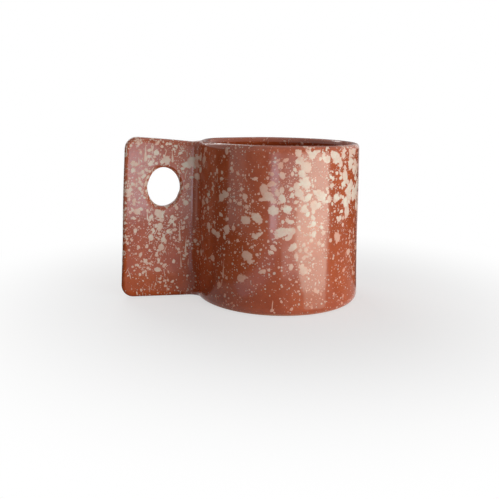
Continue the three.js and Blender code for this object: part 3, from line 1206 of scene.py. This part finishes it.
def softbox(name, place, size, power, in_glaze):
    """An area light that the camera doesn't see."""
    lamp = bpy.data.lights.new(name, "AREA")
    lamp.shape = "RECTANGLE"
    lamp.size, lamp.size_y = size
    lamp.energy = power
    made = new_object(name, lamp)
    made.location = place
    made.rotation_euler = (Vector(LAMP_AIM) - Vector(place)).to_track_quat("-Z", "Y").to_euler()
    made.visible_camera = False
    made.visible_glossy = in_glaze


def glaze_card(name, brightness, tint, points, faces):
    """A card of even brightness that shows only in the glaze."""
    material = bpy.data.materials.new(name)
    nodes = emptied(material)
    nodes.add("ShaderNodeOutputMaterial", {"Surface": glow(nodes, tint, brightness)})
    made = new_object(name, mesh_of(name, points, faces), material)
    made.visible_camera = False
    made.visible_diffuse = False
    made.visible_shadow = False
    made.visible_transmission = False


def round_card(name, start, end, brightness, section):
    """A card bent round the mug, from one direction to another."""
    points, faces = [], []
    wide = len(section)
    for i, turn in enumerate(np.radians(np.linspace(start, end, CARD_STEPS + 1))):
        points += [(reach * math.sin(turn), -reach * math.cos(turn), height) for reach, height in section]
        if i:
            faces += [(k - 1, k, k - wide, k - wide - 1) for k in range(i * wide + 1, (i + 1) * wide)]
    glaze_card(name, brightness, WHITE, points, faces)


def flat_card(name, brightness, tint, heights, plan):
    """A flat card, upright between two heights or lying at one."""
    corners = [(*point, heights[0]) for point in plan]
    if len(heights) > 1:
        corners += [(*point, heights[1]) for point in reversed(plan)]
    glaze_card(name, brightness, tint, corners, ONE_FACE)


def aimed_camera(stage):
    """The camera, turned first by pan and tilt and then by roll."""
    data = bpy.data.cameras.new("camera")
    data.sensor_fit = "HORIZONTAL"
    data.sensor_width = SENSOR_WIDTH
    data.lens = stage.lens
    data.shift_y = stage.shift
    data.clip_start = CLIP_START
    made = new_object("camera", data)
    heading = stage.pan - stage.azimuth
    across = math.cos(stage.tilt)
    forward = Vector((math.sin(heading) * across, math.cos(heading) * across, -math.sin(stage.tilt)))
    turn = forward.to_track_quat("-Z", "Y").to_matrix().to_4x4() @ Matrix.Rotation(stage.roll, 4, "Z")
    place = Vector((math.sin(stage.azimuth), -math.cos(stage.azimuth), 0.0)) * stage.distance
    place.z = stage.height
    made.matrix_world = Matrix.Translation(place) @ turn
    return made


# Operators


class MUG_OT_floor(bpy.types.Operator):
    """Build the fired floor slab"""

    bl_idname = "mug.floor"
    bl_label = "Floor slab"

    def execute(self, context):
        sizes = context.scene.mug_sizes
        finish_piece(floor_slab(sizes), ["floor_disc"], sizes)
        return {"FINISHED"}


class MUG_OT_wall(bpy.types.Operator):
    """Build the rolled wall with its rounded lip"""

    bl_idname = "mug.wall"
    bl_label = "Rolled wall"

    def execute(self, context):
        sizes = context.scene.mug_sizes
        half = 0.5 * sizes.wall
        values = {
            "Middle radius": sizes.outer_radius - half,
            "Half thickness": half,
            "Foot height": sizes.floor,
            "Rim height": sizes.rim_height,
            "Turn steps": TURN_STEPS,
            "Rows": WALL_ROWS,
            "Glaze": glazed(),
        }
        piece = grow("fired_wall", wall_tree(), values)
        finish_piece(piece, ["barrel_slab"], sizes)
        return {"FINISHED"}


class MUG_OT_floor_fillet(bpy.types.Operator):
    """Build the smoothed inside corner above the floor"""

    bl_idname = "mug.floor_fillet"
    bl_label = "Inside corner"

    def execute(self, context):
        sizes = context.scene.mug_sizes
        finish_piece(floor_fillet(sizes), ["floor_coil"], sizes)
        return {"FINISHED"}


class MUG_OT_handle(bpy.types.Operator):
    """Build the handle slab with its finger hole"""

    bl_idname = "mug.handle"
    bl_label = "Handle slab"

    def execute(self, context):
        sizes = context.scene.mug_sizes
        finish_piece(handle_slab(sizes), ["handle_fin"], sizes)
        return {"FINISHED"}


class MUG_OT_root_fillets(bpy.types.Operator):
    """Build the clay worked in on both sides of the handle's root"""

    bl_idname = "mug.root_fillets"
    bl_label = "Root fillets"

    def execute(self, context):
        sizes = context.scene.mug_sizes
        for name, node, side in (
            ("fired_root_front", "root_coil_front", -1.0),
            ("fired_root_back", "root_coil_back", 1.0),
        ):
            finish_piece(root_fillet(name, sizes, side), [node], sizes)
        return {"FINISHED"}


class MUG_OT_slip(bpy.types.Operator):
    """Splatter pale slip over the clay"""

    bl_idname = "mug.slip"
    bl_label = "Slip splatter"

    def execute(self, context):
        sizes, finish = context.scene.mug_sizes, context.scene.mug_finish
        large = {
            "Blotches": finish.blotches,
            "Drops": finish.drops,
            "Streaks": finish.streaks,
            "Runs": finish.runs,
        }
        small = {"Flecks": finish.flecks}
        tree = slip_tree()
        for name, crowds in (("slip_splatter", large), ("slip_flecks", small)):
            values = {"Relief": sizes.slip_relief, "Seed": finish.seed, "Slip": slip(), **crowds}
            piece = grow(name, tree, values, open_skin(sizes))
            soften(piece.data)
            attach(piece, "root")
        return {"FINISHED"}


class MUG_OT_stage(bpy.types.Operator):
    """Set the floor, the lights and the camera"""

    bl_idname = "mug.stage"
    bl_label = "Stage"

    def execute(self, context):
        stage = context.scene.mug_stage
        white_ground()
        context.scene.world = white_world(stage.ambient)
        for lamp in LAMPS:
            softbox(*lamp)
        for card in ROUND_CARDS:
            round_card(*card)
        for card in FLAT_CARDS:
            flat_card(*card)
        context.scene.camera = aimed_camera(stage)
        context.scene.view_settings.view_transform = "Standard"
        return {"FINISHED"}


class MUG_PT_panel(bpy.types.Panel):
    """Lists the mug's pieces and sizes"""

    bl_idname = "MUG_PT_panel"
    bl_label = "Terracotta mug"
    bl_space_type = "VIEW_3D"
    bl_region_type = "UI"
    bl_category = "Mug"

    def draw(self, context):
        layout = self.layout
        for operator in OPERATORS:
            layout.operator(operator.bl_idname)
        for group in (context.scene.mug_sizes, context.scene.mug_finish, context.scene.mug_stage):
            box = layout.box()
            for key in group.__annotations__:
                box.prop(group, key)


GROUPS = {"mug_sizes": MugSizes, "mug_finish": MugFinish, "mug_stage": MugStage}
OPERATORS = (
    MUG_OT_stage,
    MUG_OT_floor,
    MUG_OT_wall,
    MUG_OT_floor_fillet,
    MUG_OT_handle,
    MUG_OT_root_fillets,
    MUG_OT_slip,
)


def register():
    """Makes the settings, the operators and the panel known to Blender."""
    for name, group in GROUPS.items():
        bpy.utils.register_class(group)
        setattr(bpy.types.Scene, name, bpy.props.PointerProperty(type=group))
    for operator in OPERATORS:
        bpy.utils.register_class(operator)
    bpy.utils.register_class(MUG_PT_panel)


def unregister():
    """Takes them away again."""
    bpy.utils.unregister_class(MUG_PT_panel)
    for operator in reversed(OPERATORS):
        bpy.utils.unregister_class(operator)
    for name, group in GROUPS.items():
        delattr(bpy.types.Scene, name)
        bpy.utils.unregister_class(group)


def main():
    """Builds the mug and its stage."""
    register()
    bpy.ops.mug.stage()
    bpy.ops.mug.floor()
    bpy.ops.mug.wall()
    bpy.ops.mug.floor_fillet()
    bpy.ops.mug.handle()
    bpy.ops.mug.root_fillets()
    bpy.ops.mug.slip()


if __name__ == "__main__":
    main()
